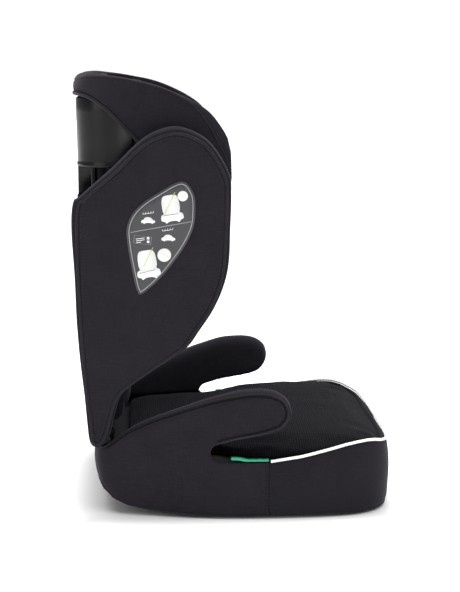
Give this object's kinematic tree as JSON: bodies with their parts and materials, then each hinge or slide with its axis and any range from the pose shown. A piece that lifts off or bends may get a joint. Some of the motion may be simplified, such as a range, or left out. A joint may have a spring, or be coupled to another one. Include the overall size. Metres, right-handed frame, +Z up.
{
  "type": "high-back booster seat",
  "caption": "Padded booster seat with armrests and belt guides, a hinged winged backrest and a winged headrest that slides up in height steps.",
  "frame": {"origin": "on the floor, under the middle of the seat's box", "axes": "+Z up, the child faces -Y, the child's left is +X"},
  "size_m": [0.4482, 0.4629, 0.6359],
  "materials": {
    "panel_fabric": "finely woven black polyester, matt",
    "mesh_fabric": "black ribbed 3D mesh over foam",
    "foam": "grey seat foam",
    "eps": "white expanded foam",
    "shell_plastic": "satin black moulded plastic",
    "gloss_plastic": "gloss black moulded plastic",
    "guide_green": "green moulded plastic",
    "white_piping": "white piping",
    "black_piping": "black fabric piping",
    "label": null,
    "steel": "bright steel",
    "rubber": "soft black rubber"
  },
  "bodies": {
    "base": {"base_shell": "shell_plastic", "floor_ribs": "shell_plastic", "bottom_plate": "shell_plastic", "front_foot_left": "rubber", "front_foot_right": "rubber", "rear_foot_left": "rubber", "rear_foot_right": "rubber", "rear_cover": "panel_fabric", "side_panel_left": "panel_fabric", "side_panel_right": "panel_fabric", "front_band": "panel_fabric", "seat_foam": "foam", "seat_cushion": "mesh_fabric", "armrest_cover_left": "panel_fabric", "armrest_cover_right": "panel_fabric", "armrest_core_left": "shell_plastic", "armrest_core_right": "shell_plastic", "lap_belt_guide_left": "guide_green", "lap_belt_guide_right": "guide_green", "seat_piping": "white_piping", "hinge_rod": "steel", "rod_bracket_left": "shell_plastic", "rod_bracket_right": "shell_plastic"},
    "backrest": {"wing_panel_left": "panel_fabric", "wing_panel_right": "panel_fabric", "wing_piping_left": "black_piping", "wing_piping_right": "black_piping", "wing_side_plate_left": "shell_plastic", "wing_side_plate_right": "shell_plastic", "wing_foam_left": "eps", "wing_foam_right": "eps", "wing_bolster_left": "panel_fabric", "wing_bolster_right": "panel_fabric", "back_shell": "shell_plastic", "back_pad": "panel_fabric", "guide_rail_left": "shell_plastic", "guide_rail_right": "shell_plastic", "height_rack": "shell_plastic", "hinge_hook_left": "shell_plastic", "hinge_hook_right": "shell_plastic", "instruction_label_left": "label", "instruction_label_right": "label"},
    "headrest": {"headrest_cover_left": "panel_fabric", "headrest_cover_right": "panel_fabric", "headrest_foam_left": "eps", "headrest_foam_right": "eps", "headrest_side_pad_left": "panel_fabric", "headrest_side_pad_right": "panel_fabric", "headrest_pad": "panel_fabric", "headrest_hood": "panel_fabric", "headrest_shell": "shell_plastic", "headrest_slider": "gloss_plastic", "headrest_frame": "shell_plastic", "shoulder_belt_guide_left": "guide_green", "shoulder_belt_guide_right": "guide_green", "release_spring": "steel"},
    "release_handle": {"release_handle": "shell_plastic", "release_rod": "steel"},
    "lock_pin": {"lock_pin": "steel"}
  },
  "joints": [
    {"name": "backrest_recline", "type": "hinge", "parent": "base", "child": "backrest", "pos_m": [0, 0.19, 0.098], "axis": [-1, 0, 0], "range_deg": [0, 16]},
    {"name": "headrest_height", "type": "slide", "parent": "backrest", "child": "headrest", "axis": [0, 0, 1], "range_m": [0, 0.16]},
    {"name": "handle_pull", "type": "slide", "parent": "headrest", "child": "release_handle", "axis": [0, 0, 1], "range_m": [0, 0.008], "stiffness_N_per_m": 900, "springref_m": -0.002, "deforming": ["release_spring"]},
    {"name": "pin_retract", "type": "slide", "parent": "headrest", "child": "lock_pin", "axis": [0, 1, 0], "range_m": [0, 0.006]}
  ],
  "couplings": [
    {"joint": "pin_retract", "follows": "handle_pull", "ratio": 0.75}
  ]
}
